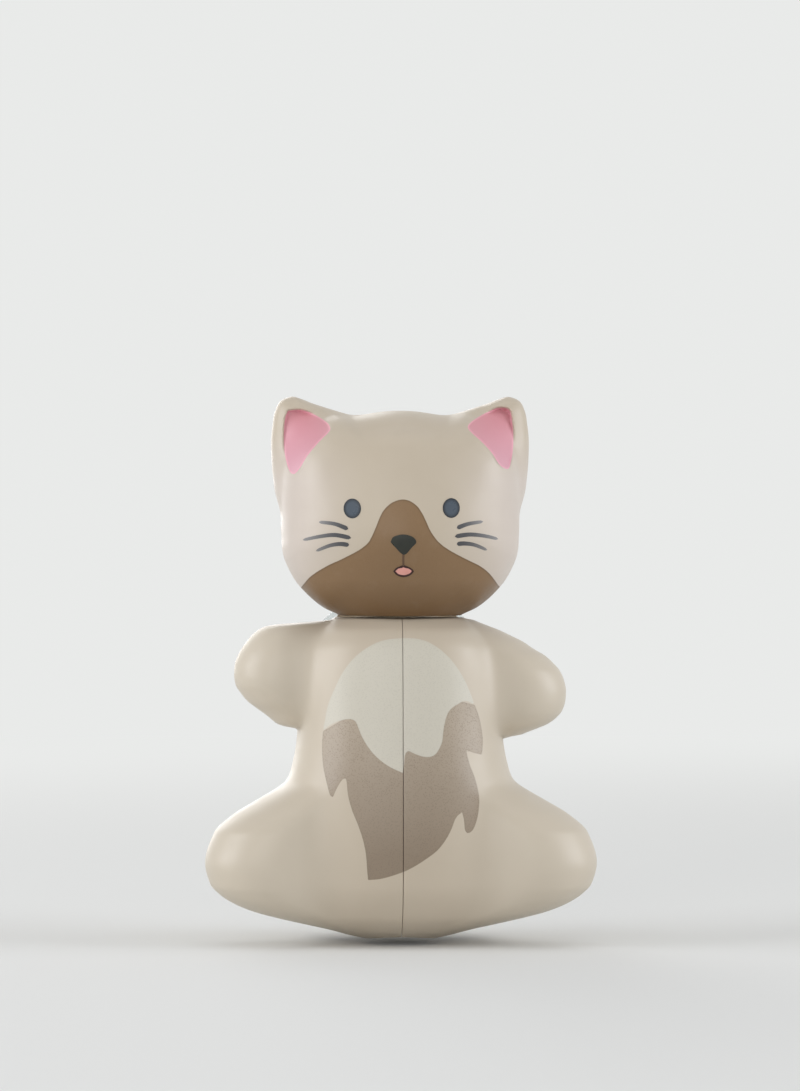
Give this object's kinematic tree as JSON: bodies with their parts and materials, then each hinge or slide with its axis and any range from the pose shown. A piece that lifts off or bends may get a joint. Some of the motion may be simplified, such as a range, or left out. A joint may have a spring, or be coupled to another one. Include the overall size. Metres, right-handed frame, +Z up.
{
  "type": "toothbrush holder",
  "caption": "Cat-shaped toothbrush head cover whose body opens in two coupled halves on upright hinges under a fixed head, held on a wall by a suction cup.",
  "frame": {"origin": "centre of the suction cup's rim, on the wall", "axes": "+X to the viewer's right, the cat faces -Y, +Y into the wall, +Z up"},
  "size_m": [0.0608, 0.0448, 0.0848],
  "materials": {
    "beige_plastic": "painted soft-sheen moulding with printed markings",
    "ivory_plastic": "plain satin moulding",
    "frame_plastic": "plain satin moulding",
    "clear_cup": "clear soft plastic",
    "steel": "plated wire and screws"
  },
  "bodies": {
    "root": {"rear_frame": "frame_plastic", "suction_cup": "clear_cup", "head_face_shell": "beige_plastic", "head_back_shell": "beige_plastic", "head_base_plate": "ivory_plastic", "hinge_pin_left": "steel", "hinge_pin_right": "steel", "frame_screw_lower": "steel", "frame_screw_upper": "steel", "face_screw_left": "steel", "face_screw_right": "steel"},
    "right_half": {"right_shell": "beige_plastic", "right_liner": "ivory_plastic", "right_arm_screw": "steel", "right_leg_screw": "steel"},
    "left_half": {"left_shell": "beige_plastic", "left_liner": "ivory_plastic", "left_arm_screw": "steel", "left_leg_screw": "steel"},
    "spring": {"toggle_spring": "steel"}
  },
  "joints": [
    {"name": "right_half_swing", "type": "hinge", "parent": "root", "child": "right_half", "pos_m": [0.006, -0.016, 0], "axis": [0, 0, 1], "range_deg": [0, 35]},
    {"name": "left_half_swing", "type": "hinge", "parent": "root", "child": "left_half", "pos_m": [-0.006, -0.016, 0], "axis": [0, 0, 1], "range_deg": [-35, 0]},
    {"name": "spring_shift", "type": "slide", "parent": "root", "child": "spring", "axis": [0, 1, 0], "range_m": [0, 0.0028]}
  ],
  "couplings": [
    {"joint": "left_half_swing", "follows": "right_half_swing", "ratio": -1},
    {"joint": "spring_shift", "follows": "right_half_swing", "m_per_rad": 0.00452}
  ]
}
